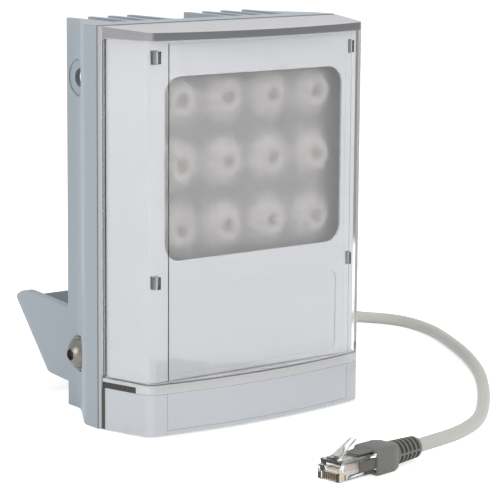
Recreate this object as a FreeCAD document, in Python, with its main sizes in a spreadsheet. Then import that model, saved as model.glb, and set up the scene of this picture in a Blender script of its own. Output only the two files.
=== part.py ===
import FreeCAD, Part

import math
import os

import Sketcher

# White light illuminator for outdoor camera systems.
# Frame of the model: millimetres, +Z up, front of the lamp towards -Y,
# X to the right of someone who looks at the front, Y = 0 on the front face
# of the cast body, Z = 0 on the flat foot that the lamp can stand on.

doc = FreeCAD.newDocument("illuminator")
sheet = doc.addObject("Spreadsheet::Sheet", "sizes")
made = {}


class Size:
    """A length that carries its number and the formula that binds it."""

    def __init__(self, value, text):
        self.value = float(value)
        self.text = text

    def __add__(self, other):
        other = as_size(other)
        return Size(self.value + other.value, "(%s + %s)" % (self.text, other.text))

    def __radd__(self, other):
        return as_size(other) + self

    def __sub__(self, other):
        other = as_size(other)
        return Size(self.value - other.value, "(%s - %s)" % (self.text, other.text))

    def __rsub__(self, other):
        return as_size(other) - self

    def __mul__(self, other):
        other = as_size(other)
        return Size(self.value * other.value, "(%s * %s)" % (self.text, other.text))

    def __rmul__(self, other):
        return as_size(other) * self

    def __truediv__(self, other):
        other = as_size(other)
        return Size(self.value / other.value, "(%s / %s)" % (self.text, other.text))

    def __neg__(self):
        return Size(-self.value, "(0 - %s)" % self.text)


def as_size(thing):
    if isinstance(thing, Size):
        return thing
    return Size(thing, "%.6g" % thing if thing >= 0 else "(0 - %.6g)" % -thing)


def root(thing):
    return Size(math.sqrt(thing.value), "sqrt(%s)" % thing.text)


row = [0]


def size(alias, value):
    """Write one driving dimension into the sheet."""
    row[0] += 1
    sheet.set("A%d" % row[0], alias)
    sheet.set("B%d" % row[0], "%g" % value)
    sheet.setAlias("B%d" % row[0], alias)
    return Size(value, "sizes.%s" % alias)


def bind(thing, prop, length):
    """Give a property its number and bind it to the sheet."""
    length = as_size(length)
    if "sizes." in length.text:
        thing.setExpression(prop, length.text)


# Cast body with its fins
body_width = size("body_width", 135.6)
body_height = size("body_height", 180)
base_depth = size("base_depth", 14.5)
body_depth = size("body_depth", 47.6)
flank_depth = size("flank_depth", 10.7)
flank_round = size("flank_round", 12)
flank_hollow = size("flank_hollow", 16)
rear_width = size("rear_width", 104.4)
taper_end = size("taper_end", 36.4)
side_wall = size("side_wall", 3.2)
fin_first = size("fin_first", 16.4)
fin_pitch = size("fin_pitch", 10.95)
fin_root = size("fin_root", 4.2)
fin_tip = size("fin_tip", 3.0)
fin_count = 3
pedestal_width = size("pedestal_width", 92)
pedestal_reach = size("pedestal_reach", 14.4)
pedestal_low = size("pedestal_low", 73)
pedestal_drop = size("pedestal_drop", 15)
pedestal_high = body_height - pedestal_drop
bay_width = size("bay_width", 104)
bay_depth = size("bay_depth", 6)
bay_low = size("bay_low", 27)
bay_high = size("bay_high", 70)

# Tilt pivot and the spare hole above it
pivot_depth = size("pivot_depth", 36.5)
pivot_height = size("pivot_height", 26)
spare_drop = size("spare_drop", 26.5)
spare_height = body_height - spare_drop
spot_width = size("spot_width", 17)
spot_sink = size("spot_sink", 0.5)
bolt_hole = size("bolt_hole", 8.6)
bolt_width = size("bolt_width", 8)
head_width = size("head_width", 14)
head_height = size("head_height", 5)
head_socket = size("head_socket", 5)
socket_depth = size("socket_depth", 2.6)
washer_width = size("washer_width", 15.6)
washer_thick = size("washer_thick", 1.6)
seat_gap = size("seat_gap", 0.2)
nut_flats = size("nut_flats", 13)
nut_thick = size("nut_thick", 4.5)
nut_relief = size("nut_relief", 23)

# Yoke
arm_thick = size("arm_thick", 4)
arm_gap = size("arm_gap", 0.3)
eye_width = size("eye_width", 35)
web_reach = size("web_reach", 40)
web_high = size("web_high", 52.4)
knee_radius = size("knee_radius", 14)
web_thick = size("web_thick", 4)
bend_radius = size("bend_radius", 8)
web_hole = size("web_hole", 10.5)
slot_width = size("slot_width", 6.6)
slot_length = size("slot_length", 14)
slot_pitch = size("slot_pitch", 60)
rest_tilt = 40.8

# Clear front cover, white frame behind it, foot cap
front_step = size("front_step", 14.8)
front_width = body_width - front_step
front_depth = size("front_depth", 29)
front_bow = size("front_bow", 6)
cover_wall = size("cover_wall", 3)
cover_step = size("cover_step", 0.6)
cover_drop = size("cover_drop", 2)
cover_floor = size("cover_floor", 4.2)
cover_roof = size("cover_roof", 5)
edge_gap = size("edge_gap", 0.3)
cap_lift = size("cap_lift", 1.3)
cap_height = size("cap_height", 19.4)
cap_wall = size("cap_wall", 3)
cap_gap = size("cap_gap", 1.2)
flange_thick = size("flange_thick", 2)
seal_thick = size("seal_thick", 1)
seal_inset = size("seal_inset", 0.5)
seal_band = size("seal_band", 1.6)
corner_round = size("corner_round", 5)
frame_gap = size("frame_gap", 0.3)
frame_wall = size("frame_wall", 2.4)
panel_step = size("panel_step", 17.4)
panel_width = front_width - panel_step
panel_low = size("panel_low", 25.4)
panel_drop = size("panel_drop", 6.6)
panel_high = body_height - panel_drop
panel_rise = size("panel_rise", 0.7)
plate_front = size("plate_front", 24.7)
plate_thick = size("plate_thick", 1)
window_step = size("window_step", 21.2)
window_width = front_width - window_step
window_low = size("window_low", 77.3)
window_drop = size("window_drop", 6.5)
window_high = pedestal_high - window_drop
window_round = size("window_round", 8)
label_width = window_width - 4
label_low = size("label_low", 26.4)
label_high = size("label_high", 64)
label_round = size("label_round", 4)
pane_thick = size("pane_thick", 1.8)
pane_lap = size("pane_lap", 2.6)
slit_width = size("slit_width", 2.9)
slit_height = size("slit_height", 6.3)
slit_step = size("slit_step", 11.2)
slit_pitch = front_width - slit_step
slit_low = size("slit_low", 68.8)
slit_drop = size("slit_drop", 12.8)
slit_high = body_height - slit_drop

# Light engine
pad_thick = size("pad_thick", 0.5)
board_thick = size("board_thick", 1.6)
board_width = size("board_width", 90)
board_high = pedestal_high - pedestal_low - 4
led_edge_x = size("led_edge_x", 7.05)
led_pitch_x = (board_width - led_edge_x * 2) / 3
led_edge_z = size("led_edge_z", 13.2)
led_pitch_z = (board_high / 2 - led_edge_z) * 0.935
led_middle = (pedestal_low + pedestal_high) / 2 - 0.4
led_size = size("led_size", 3.4)
led_thick = size("led_thick", 0.9)
lens_width = size("lens_width", 13)
lens_height = size("lens_height", 3.8)
holder_width = size("holder_width", 15.4)
holder_height = size("holder_height", 2.6)

# Driver board in the lower bay
driver_width = size("driver_width", 96)
driver_thick = size("driver_thick", 1.6)
driver_stand = size("driver_stand", 4)
driver_margin = size("driver_margin", 1.5)

# Cable entry
gland_height = size("gland_height", 108)
gland_thread = size("gland_thread", 16)
gland_flats = size("gland_flats", 19)
gland_hex = size("gland_hex", 6)
gland_dome = size("gland_dome", 12)
cable_width = size("cable_width", 6)

half_width = body_width / 2
half_rear = rear_width / 2
half_front = front_width / 2
rear_of_cover = flange_thick + seal_thick
cover_half = half_width - cover_step
slope = (cover_half - half_front) / (front_depth - rear_of_cover)
stretch = root(1 + slope * slope)
bow_radius = (half_front * half_front + front_bow * front_bow) / (2 * front_bow)
bow_centre = bow_radius - front_depth - front_bow
channel_half = half_rear - side_wall
cover_low = cap_height + 0.2
cover_high = body_height - edge_gap


def vector(x, y, z):
    return FreeCAD.Vector(as_size(x).value, as_size(y).value, as_size(z).value)


def place(thing, x, y, z):
    """Bind the three coordinates of a placement."""
    thing.Placement.Base = vector(x, y, z)
    for axis, length in (("x", x), ("y", y), ("z", z)):
        bind(thing, "Placement.Base.%s" % axis, length)


def box(x0, x1, y0, y1, z0, z1, name="block"):
    thing = doc.addObject("Part::Box", name)
    for prop, low, high in (("Length", x0, x1), ("Width", y0, y1), ("Height", z0, z1)):
        span = as_size(high) - as_size(low)
        setattr(thing, prop, span.value)
        bind(thing, prop, span)
    place(thing, x0, y0, z0)
    return thing


TURNS = {
    "+X": FreeCAD.Rotation(FreeCAD.Vector(0, 1, 0), 90),
    "-X": FreeCAD.Rotation(FreeCAD.Vector(0, 1, 0), -90),
    "+Y": FreeCAD.Rotation(FreeCAD.Vector(1, 0, 0), -90),
    "-Y": FreeCAD.Rotation(FreeCAD.Vector(1, 0, 0), 90),
    "+Z": FreeCAD.Rotation(),
    "-Z": FreeCAD.Rotation(FreeCAD.Vector(1, 0, 0), 180),
}


def rod(axis, x, y, z, width, length, name="rod"):
    """A cylinder that starts at a point and runs along an axis."""
    thing = doc.addObject("Part::Cylinder", name)
    radius = as_size(width) / 2
    thing.Radius = radius.value
    bind(thing, "Radius", radius)
    thing.Height = as_size(length).value
    bind(thing, "Height", length)
    thing.Placement.Rotation = TURNS[axis]
    place(thing, x, y, z)
    return thing


def cone(axis, x, y, z, width0, width1, length, name="taper"):
    thing = doc.addObject("Part::Cone", name)
    for prop, width in (("Radius1", width0), ("Radius2", width1)):
        radius = as_size(width) / 2
        setattr(thing, prop, radius.value)
        bind(thing, prop, radius)
    thing.Height = as_size(length).value
    bind(thing, "Height", length)
    thing.Placement.Rotation = TURNS[axis]
    place(thing, x, y, z)
    return thing


def hexagon(axis, x, y, z, flats, length, name="hexagon"):
    thing = doc.addObject("Part::Prism", name)
    thing.Polygon = 6
    corner = as_size(flats) / 1.7320508
    thing.Circumradius = corner.value
    bind(thing, "Circumradius", corner)
    thing.Height = as_size(length).value
    bind(thing, "Height", length)
    thing.Placement.Rotation = TURNS[axis]
    place(thing, x, y, z)
    return thing


def ball(x, y, z, width, name="ball"):
    thing = doc.addObject("Part::Sphere", name)
    radius = as_size(width) / 2
    thing.Radius = radius.value
    bind(thing, "Radius", radius)
    place(thing, x, y, z)
    return thing


def fuse(parts, name="fusion"):
    thing = doc.addObject("Part::MultiFuse", name)
    thing.Shapes = parts
    thing.Refine = True
    return thing


def cut(base, tool, name="cut"):
    thing = doc.addObject("Part::Cut", name)
    thing.Base = base
    thing.Tool = tool if not isinstance(tool, list) else fuse(tool, name + "_tools")
    thing.Refine = True
    return thing


def common(one, two, name="common"):
    thing = doc.addObject("Part::Common", name)
    thing.Base = one
    thing.Tool = two
    return thing


def group(parts, name="group"):
    thing = doc.addObject("Part::Compound", name)
    thing.Links = parts
    return thing


def node(thing, label):
    """Register a finished piece under the name of its file."""
    thing.Label = label
    made[label] = thing
    return thing


def plane_of(body, role):
    return [item for item in body.Origin.OriginFeatures if item.Role == role][0]


def new_sketch(body, role, offset=0, name="profile"):
    sketch = body.newObject("Sketcher::SketchObject", name)
    sketch.AttachmentSupport = (plane_of(body, role), [""])
    sketch.MapMode = "FlatFace"
    offset = as_size(offset)
    sketch.AttachmentOffset = FreeCAD.Placement(FreeCAD.Vector(0, 0, offset.value), FreeCAD.Rotation())
    bind(sketch, "AttachmentOffset.Base.z", offset)
    return sketch


def pin(sketch, geometry, end, x, y):
    """Hold one point of a sketch at bound coordinates."""
    for kind, length in (("DistanceX", x), ("DistanceY", y)):
        if length is None:
            continue
        length = as_size(length)
        rule = sketch.addConstraint(Sketcher.Constraint(kind, -1, 1, geometry, end, length.value))
        if "sizes." in length.text:
            label = "g%d_%d_%s" % (geometry, end, kind[-1].lower())
            sketch.renameConstraint(rule, label)
            sketch.setExpression("Constraints.%s" % label, length.text)


def draw_polygon(sketch, points):
    first = sketch.GeometryCount
    count = len(points)
    corners = [vector(x, y, 0) for x, y in points]
    for i in range(count):
        sketch.addGeometry(Part.LineSegment(corners[i], corners[(i + 1) % count]), False)
    for i in range(count):
        here = first + i
        there = first + (i + 1) % count
        sketch.addConstraint(Sketcher.Constraint("Coincident", here, 2, there, 1))
    for i in range(count):
        pin(sketch, first + i, 1, points[i][0], points[i][1])


def draw_circle(sketch, x, y, width):
    radius = as_size(width) / 2
    circle = Part.Circle(vector(x, y, 0), FreeCAD.Vector(0, 0, 1), radius.value)
    where = sketch.addGeometry(circle, False)
    pin(sketch, where, 3, x, y)
    rule = sketch.addConstraint(Sketcher.Constraint("Radius", where, radius.value))
    if "sizes." in radius.text:
        label = "r%d" % where
        sketch.renameConstraint(rule, label)
        sketch.setExpression("Constraints.%s" % label, radius.text)


def draw_slot(sketch, x, y, length, width):
    """Slot along the sketch's first axis, with round ends."""
    reach = (length - width) / 2
    radius = width / 2
    up = FreeCAD.Vector(0, 0, 1)
    quarter = math.pi / 2
    right = Part.Circle(vector(x + reach, y, 0), up, radius.value)
    left = Part.Circle(vector(x - reach, y, 0), up, radius.value)
    sketch.addGeometry(Part.ArcOfCircle(right, -quarter, quarter), False)
    sketch.addGeometry(Part.LineSegment(vector(x + reach, y + radius, 0), vector(x - reach, y + radius, 0)), False)
    sketch.addGeometry(Part.ArcOfCircle(left, quarter, 3 * quarter), False)
    sketch.addGeometry(Part.LineSegment(vector(x - reach, y - radius, 0), vector(x + reach, y - radius, 0)), False)
    for one, two in ((0, 1), (1, 2), (2, 3), (3, 0)):
        sketch.addConstraint(Sketcher.Constraint("Coincident", one, 2, two, 1))
    pin(sketch, 0, 1, x + reach, y - radius)
    pin(sketch, 0, 2, x + reach, y + radius)
    pin(sketch, 0, 3, x + reach, None)
    pin(sketch, 2, 1, x - reach, y + radius)
    pin(sketch, 2, 2, x - reach, y - radius)
    pin(sketch, 2, 3, x - reach, None)


def draw_bow(sketch, inset, rear):
    """Plan outline shared by cover, cap, frame and plates: slanted sides and a bowed front."""
    inset = as_size(inset)
    side = half_front + slope * inset - stretch * inset
    foot = cover_half + slope * (rear_of_cover - rear) - stretch * inset
    radius = bow_radius - inset
    middle = bow_centre
    swing = math.asin(side.value / radius.value)
    low = middle.value - radius.value * math.cos(swing)
    down = -math.pi / 2
    circle = Part.Circle(FreeCAD.Vector(0, middle.value, 0), FreeCAD.Vector(0, 0, 1), radius.value)
    left = FreeCAD.Vector(-side.value, low, 0)
    right = FreeCAD.Vector(side.value, low, 0)
    back_left = vector(-foot, -rear, 0)
    back_right = vector(foot, -rear, 0)
    sketch.addGeometry(Part.ArcOfCircle(circle, down - swing, down + swing), False)
    sketch.addGeometry(Part.LineSegment(right, back_right), False)
    sketch.addGeometry(Part.LineSegment(back_right, back_left), False)
    sketch.addGeometry(Part.LineSegment(back_left, left), False)
    for one, end, two, start in ((0, 2, 1, 1), (1, 2, 2, 1), (2, 2, 3, 1), (3, 2, 0, 1)):
        sketch.addConstraint(Sketcher.Constraint("Coincident", one, end, two, start))
    pin(sketch, 0, 3, 0, middle)
    rule = sketch.addConstraint(Sketcher.Constraint("Radius", 0, radius.value))
    sketch.renameConstraint(rule, "bow")
    sketch.setExpression("Constraints.bow", radius.text)
    pin(sketch, 0, 1, -side, None)
    pin(sketch, 0, 2, side, None)
    pin(sketch, 2, 1, foot, -rear)
    pin(sketch, 2, 2, -foot, -rear)


def pad(body, sketch, length, reverse=False, kind="PartDesign::Pad", through=False):
    feature = body.newObject(kind, "feature")
    feature.Profile = sketch
    if through:
        feature.Type = "ThroughAll"
    else:
        length = as_size(length)
        feature.Length = length.value
        bind(feature, "Length", length)
    feature.Reversed = reverse
    body.Tip = feature
    return feature


def pocket(body, sketch, length, reverse=False, through=False):
    return pad(body, sketch, length, reverse, "PartDesign::Pocket", through)


def bow_prism(inset, rear, low, high, name="shell"):
    body = doc.addObject("PartDesign::Body", name)
    sketch = new_sketch(body, "XY_Plane", low)
    draw_bow(sketch, inset, rear)
    pad(body, sketch, as_size(high) - low)
    return body


def slab(role, offset, length, points, name="slab", reverse=False):
    body = doc.addObject("PartDesign::Body", name)
    sketch = new_sketch(body, role, offset)
    draw_polygon(sketch, points)
    pad(body, sketch, length, reverse)
    return body


def edges_where(shape, test):
    names = []
    for number, edge in enumerate(shape.Edges):
        if test(edge):
            names.append("Edge%d" % (number + 1))
    return names


def upright(edge, x, y, near=0.05):
    """True for an edge that stands along Z at a plan position, on either side of the middle."""
    if len(edge.Vertexes) != 2 or edge.Curve.TypeId != "Part::GeomLine":
        return False
    a = edge.Vertexes[0].Point
    b = edge.Vertexes[1].Point
    if abs(a.x - b.x) > near or abs(a.y - b.y) > near:
        return False
    return abs(abs(a.x) - x) < near and abs(a.y - y) < near


def round_edges(body, base, names, radius):
    radius = as_size(radius)
    fillet = body.newObject("PartDesign::Fillet", "rounding")
    fillet.Base = (base, names)
    fillet.Radius = radius.value
    bind(fillet, "Radius", radius)
    body.Tip = fillet
    return fillet


def lifted_window(width, low, high, corner, front, back, name="window"):
    """A rounded opening block that runs from front to back along Y."""
    half = width / 2
    body = doc.addObject("PartDesign::Body", name)
    sketch = new_sketch(body, "XZ_Plane", -as_size(back))
    points = [(-half, low), (half, low), (half, high), (-half, high)]
    draw_polygon(sketch, points)
    first = pad(body, sketch, as_size(back) - front)
    doc.recompute()

    def deep(edge):
        a = edge.Vertexes[0].Point
        b = edge.Vertexes[1].Point
        return abs(a.x - b.x) < 0.01 and abs(a.z - b.z) < 0.01

    round_edges(body, first, edges_where(first.Shape, deep), corner)
    return body


# Cast body: base slab, flared flanks and rear walls
heatsink = doc.addObject("PartDesign::Body", "heatsink")
plan = new_sketch(heatsink, "XY_Plane", 0, "plan")
draw_polygon(plan, [
    (-half_width, 0),
    (half_width, 0),
    (half_width, flank_depth),
    (half_rear, taper_end),
    (half_rear, body_depth),
    (channel_half, body_depth),
    (channel_half, base_depth),
    (-channel_half, base_depth),
    (-channel_half, body_depth),
    (-half_rear, body_depth),
    (-half_rear, taper_end),
    (-half_width, flank_depth),
])
casting = pad(heatsink, plan, body_height)
doc.recompute()
flare = edges_where(casting.Shape, lambda e: upright(e, half_width.value, flank_depth.value))
casting = round_edges(heatsink, casting, flare, flank_round)
doc.recompute()
hollow_line = edges_where(casting.Shape, lambda e: upright(e, half_rear.value, taper_end.value))
casting = round_edges(heatsink, casting, hollow_line, flank_hollow)
doc.recompute()
tips = edges_where(casting.Shape, lambda e: upright(e, half_rear.value, body_depth.value)
                   or upright(e, channel_half.value, body_depth.value))
casting = round_edges(heatsink, casting, tips, side_wall * 0.4)
doc.recompute()

# Raised pedestal that carries the light board
raised = new_sketch(heatsink, "XZ_Plane", 0, "pedestal")
draw_polygon(raised, [
    (-(pedestal_width / 2), pedestal_low),
    (pedestal_width / 2, pedestal_low),
    (pedestal_width / 2, pedestal_high),
    (-(pedestal_width / 2), pedestal_high),
])
pad(heatsink, raised, pedestal_reach)
# Bay for the driver board below it
bay = new_sketch(heatsink, "XZ_Plane", 0, "bay")
draw_polygon(bay, [
    (-(bay_width / 2), bay_low),
    (bay_width / 2, bay_low),
    (bay_width / 2, bay_high),
    (-(bay_width / 2), bay_high),
])
pocket(heatsink, bay, bay_depth)
# Bolt seats and bolt holes in both flanks
floor_half = half_rear - spot_sink
for side in (1, -1):
    seats = new_sketch(heatsink, "YZ_Plane", side * floor_half, "seats")
    draw_circle(seats, pivot_depth, pivot_height, spot_width)
    draw_circle(seats, pivot_depth, spare_height, spot_width)
    pocket(heatsink, seats, half_width - floor_half + 1, side == 1)
    holes = new_sketch(heatsink, "YZ_Plane", side * (channel_half - 1), "holes")
    draw_circle(holes, pivot_depth, pivot_height, bolt_hole)
    draw_circle(holes, pivot_depth, spare_height, bolt_hole)
    pocket(heatsink, holes, side_wall + 1.5, side == 1)
# Threaded entry for the cable gland in the wide middle channel
entry = new_sketch(heatsink, "XZ_Plane", -base_depth, "entry")
draw_circle(entry, 0, gland_height, gland_thread)
pocket(heatsink, entry, base_depth * 0.7, True)

# Six fins with draft that stand on the rear face of the base, notched where the pivot nuts turn
fins = []
for side in (1, -1):
    for i in range(fin_count):
        middle = fin_first + i * fin_pitch
        fin = slab("XY_Plane", 0, body_height, [
            (side * (middle - fin_root / 2), base_depth),
            (side * (middle + fin_root / 2), base_depth),
            (side * (middle + fin_tip / 2), body_depth),
            (side * (middle - fin_tip / 2), body_depth),
        ], "fin")
        if i == fin_count - 1:
            near_end = side * middle - fin_root
            fin = cut(fin, rod("+X", near_end, pivot_depth, pivot_height, nut_relief, fin_root * 2, "relief"), "fin_cut")
        fins.append(fin)

# Clear cover: bowed shell with a thick floor and roof, open at the back
shell = bow_prism(0, rear_of_cover, cover_low, cover_high, "cover_outer")
doc.recompute()
creases = edges_where(shell.Shape, lambda e: upright(e, half_front.value, -front_depth.value))
round_edges(shell, shell.Tip, creases, corner_round)
hollow = bow_prism(cover_wall, rear_of_cover - 1, cover_low + cover_floor,
                   cover_high - cover_roof, "cover_inner")
front_most = -(front_depth + front_bow + 2)
panel_block = box(-panel_width / 2, panel_width / 2, front_most, -(front_depth - 6), panel_low, panel_high, "panel_block")
panel_front = common(panel_block, bow_prism(-panel_rise, 0, panel_low - 1, panel_high + 1, "panel_front"), "panel_solid")
panel = cut(panel_front, bow_prism(panel_rise, -1, panel_low - 2, panel_high + 2, "panel_back"), "panel")
roof_slope = slab("YZ_Plane", -half_width, body_width, [
    (-rear_of_cover, cover_high),
    (front_most, cover_high + 1),
    (front_most, cover_high - cover_drop),
], "roof_slope")

# Captive inserts that the foot cap is screwed to, seen in the side slots
insert_width = size("insert_width", 5.6)
insert_height = size("insert_height", 3.4)
insert_back = size("insert_back", 12.4)
slot_reach = size("slot_reach", 21.4)
slot_rise = size("slot_rise", 2.6)
slot_deep = size("slot_deep", 6)
cap_screw = size("cap_screw", 3)
cap_head = size("cap_head", 5.6)
insert_y = -(rear_of_cover + insert_back)
insert_x = cover_half - slope * insert_back - insert_width / 2 - 0.6


def side_block(side, low, high, extra, name):
    """Block along the slanted side of the cover, just inside its skin."""
    outer = cover_half + 2
    inner = half_front - slot_deep + extra
    if side > 0:
        return box(inner, outer, -(slot_reach - extra), -rear_of_cover - extra, low, high, name)
    return box(-outer, -inner, -(slot_reach - extra), -rear_of_cover - extra, low, high, name)


slot_tools = [side_block(side, cover_low - 1, cover_low + slot_rise, 0, "side_slot") for side in (1, -1)]
insert_holes = [rod("+Z", side * insert_x, insert_y, cover_low - 1, insert_width, insert_height + 1.1,
                    "insert_hole") for side in (1, -1)]

# Screws from the back that clamp the frame to the casting
clamp_screw = size("clamp_screw", 3)
clamp_head = size("clamp_head", 5.6)
clamp_bite = size("clamp_bite", 5)
clamp_low = size("clamp_low", 11)
clamp_top = size("clamp_top", 10.8)
boss_width = size("boss_width", 6.8)
clamp_x = fin_first + fin_pitch * 1.5
clamp_levels = (clamp_low, body_height - clamp_top)
clamp_points = [(side * clamp_x, level) for side in (1, -1) for level in clamp_levels]


def clamp_holes(front, back, width, name="clamp_holes"):
    """One round hole per clamp screw, from the front depth to the back depth."""
    return [rod("+Y", x, front, z, width, back - front, name) for x, z in clamp_points]


# Four hooks inside the cover that snap into the slits of the white frame
hook_back = -(plate_front - plate_thick - 1.3)
hooks = []
for side in (1, -1):
    for level in (slit_low, slit_high):
        middle = side * slit_pitch / 2
        stem_ends = sorted([side * -1.15, side * 0.45])
        barb_ends = sorted([side * -1.85, side * -1.0])
        low = level - slit_height / 2 + 0.4
        high = level + slit_height / 2 - 0.4
        hooks.append(box(middle + stem_ends[0], middle + stem_ends[1], 1 - front_depth, hook_back, low, high, "stem"))
        hooks.append(box(middle + barb_ends[0], middle + barb_ends[1], hook_back - 1.2, hook_back, low, high, "barb"))
cover_blank = fuse([shell, panel], "cover_blank")
cover_bare = cut(cover_blank, [hollow, roof_slope] + slot_tools + insert_holes, "cover_bare")
node(fuse([cover_bare] + hooks, "cover_shape"), "front_cover")

casting_bored = cut(heatsink, clamp_holes(-1, base_depth + 1, clamp_screw + 0.4), "casting_bored")
# The one casting is held as solids that meet face to face: its base, two rear walls and six fins
base_room = box(-half_width - 1, half_width + 1, -pedestal_reach - 1, base_depth, -1, body_height + 1, "base_room")
left_room = box(-half_width - 1, 0, base_depth, body_depth + 1, -1, body_height + 1, "left_room")
right_room = box(0, half_width + 1, base_depth, body_depth + 1, -1, body_height + 1, "right_room")
casting_parts = [common(casting_bored, room, "casting_part") for room in (base_room, left_room, right_room)]
node(group(casting_parts + fins), "heatsink_body")

# Foot cap: same plan, hollow, closed below, its underside rising to the front
cap_outer = bow_prism(0, rear_of_cover + cap_gap, edge_gap, cap_height, "cap_outer")
doc.recompute()
creases = edges_where(cap_outer.Shape, lambda e: upright(e, half_front.value, -front_depth.value))
round_edges(cap_outer, cap_outer.Tip, creases, corner_round)
cap_inner = bow_prism(cap_wall, rear_of_cover - 1, cap_lift + cap_wall, cap_height - cap_wall * 0.7, "cap_inner")
cap_slope = slab("YZ_Plane", -half_width, body_width, [
    (-rear_of_cover, edge_gap),
    (front_most, edge_gap - 1),
    (front_most, cap_lift),
], "cap_slope")
post_width = cap_head + 3.4
cap_posts = []
cap_bores = []
for side in (1, -1):
    cap_posts.append(rod("+Z", side * insert_x, insert_y, edge_gap, post_width, cap_height - edge_gap, "post"))
    cap_bores.append(rod("+Z", side * insert_x, insert_y, -1, cap_screw + 0.4, cap_height + 2, "bore"))
    cap_bores.append(rod("+Z", side * insert_x, insert_y, -1, cap_head + 0.6, cap_lift + 4, "sink"))
cap_shell = cut(cap_outer, cap_inner, "cap_shell")
posts_in = common(fuse(cap_posts, "posts"), bow_prism(0, rear_of_cover + cap_gap, edge_gap, cap_height, "hull"), "posts_in")
node(cut(fuse([cap_shell, posts_in], "cap_body"), cap_bores + [cap_slope], "cap_shape"), "foot_cap")

inserts = []
screws = []
for side in (1, -1):
    x = side * insert_x
    sleeve = rod("+Z", x, insert_y, cap_height, insert_width, insert_height, "sleeve")
    inserts.append(cut(sleeve, rod("+Z", x, insert_y, cap_height - 1, cap_screw, insert_height + 2, "thread"), "insert"))
    head = rod("+Z", x, insert_y, cap_lift + 1.2, cap_head, 1.8, "screw_head")
    shank = rod("+Z", x, insert_y, cap_lift + 2.9, cap_screw, cap_height + insert_height - cap_lift - 3.2, "shank")
    recess = hexagon("+Z", x, insert_y, cap_lift + 1.1, 2, 1.1, "drive")
    screws.append(cut(fuse([head, shank], "screw"), recess, "cap_screw_one"))
node(group(inserts), "cap_inserts")
node(group(screws), "cap_screws")

side_seals = []
for side in (1, -1):
    block = side_block(side, cap_height, cover_low + slot_rise - 0.1, 0.2, "seal_block")
    skin = bow_prism(0.3, rear_of_cover + 0.1, cap_height - 1, cover_low + slot_rise + 1, "seal_skin")
    strip = common(block, skin, "strip")
    around = rod("+Z", side * insert_x, insert_y, cap_height - 1, insert_width + 0.4, slot_rise + 3, "around")
    side_seals.append(cut(strip, around, "side_seal"))
node(group(side_seals), "side_seals")

# White frame: a flange plate all round and a bowed box behind the clear cover
frame_skin = cover_wall + frame_gap
frame_low = cover_low + cover_floor + frame_gap
frame_high = cover_high - cover_roof - frame_gap
frame_outer = bow_prism(frame_skin, flange_thick - 1, frame_low, frame_high, "frame_outer")
frame_inner = bow_prism(frame_skin + frame_wall, -1, frame_low + frame_wall, frame_high - frame_wall, "frame_inner")
flange = box(edge_gap - half_width, half_width - edge_gap, -flange_thick, 0,
             edge_gap, body_height - edge_gap, "flange")
frame_front = box(-half_width, half_width, front_most - 2, -(plate_front - plate_thick), 0, body_height, "frame_front")
window_half = window_width / 2
plate_rear = -(plate_front - plate_thick)
slits = []
for side in (1, -1):
    for level in (slit_low, slit_high):
        middle = side * slit_pitch / 2
        slits.append(box(middle - slit_width / 2, middle + slit_width / 2, front_most, plate_rear + 3,
                         level - slit_height / 2, level + slit_height / 2, "slit"))
frame_body = fuse([frame_outer, flange], "frame_body")
frame_open = cut(frame_body, [frame_inner, frame_front] + slits, "frame_open")
bosses = [rod("-Y", x, 0, z, boss_width, flange_thick + clamp_bite + 1, "boss") for x, z in clamp_points]
pilots = clamp_holes(-(flange_thick + clamp_bite + 0.3), 1, clamp_screw)
node(cut(fuse([frame_open] + bosses, "frame_bossed"), pilots, "frame_shape"), "inner_frame")

# Flat front plate on the frame's edge, with the window, four slits and the bare label field
plate_block = box(-half_width, half_width, -plate_front, plate_rear, frame_low, frame_high, "plate_block")
plate_solid = common(plate_block, bow_prism(frame_skin, 0, frame_low - 1, frame_high + 1, "plate_hull"), "plate_solid")
window = lifted_window(window_width, window_low, window_high, window_round, front_most, 0)
label_floor = -(plate_front - plate_thick / 2)
label_room = lifted_window(label_width, label_low, label_high, label_round, front_most, label_floor)
node(cut(plate_solid, [window, label_room] + slits, "plate_shape"), "front_plate")

# Frosted pane that lies on the rear face of the plate
node(box(-window_half - pane_lap, window_half + pane_lap, plate_rear, plate_rear + pane_thick,
         window_low - pane_lap, window_high + pane_lap, "pane"), "diffuser_pane")

# Dark seal: a thin band up the sides and over the top, and a thicker ring behind the foot cap
seal_half = cover_half - seal_inset
seal_open = seal_half - seal_band
seal_top = cover_high - seal_inset
foot_half = cover_half - 0.15
foot_front = -(rear_of_cover + cap_gap)
foot_open = foot_half - cap_wall * 0.8
band = cut(
    box(-seal_half, seal_half, -rear_of_cover, -flange_thick, cap_height - 1, seal_top, "band"),
    box(-seal_open, seal_open, -rear_of_cover - 1, 1 - flange_thick, cap_height - 2, seal_top - seal_band, "band_room"),
    "seal_band")
foot_ring = cut(
    box(-foot_half, foot_half, foot_front, -flange_thick, edge_gap + 0.3, cap_height - 0.2, "foot"),
    box(-foot_open, foot_open, foot_front - 1, 1 - flange_thick, cap_lift + cap_wall, cap_height - 2, "foot_room"),
    "seal_foot")
node(fuse([band, foot_ring], "seal_shape"), "cover_seal")

clamps = []
for x, z in clamp_points:
    head = rod("+Y", x, base_depth, z, clamp_head, 1.9, "clamp_head")
    shank = rod("+Y", x, -(flange_thick + clamp_bite), z, clamp_screw, flange_thick + clamp_bite + base_depth + 0.5,
                "clamp_shank")
    drive = hexagon("+Y", x, base_depth + 0.8, z, 2, 1.2, "drive")
    clamps.append(cut(fuse([head, shank], "clamp"), drive, "clamp_screw_one"))
node(group(clamps), "clamp_screws")

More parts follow.
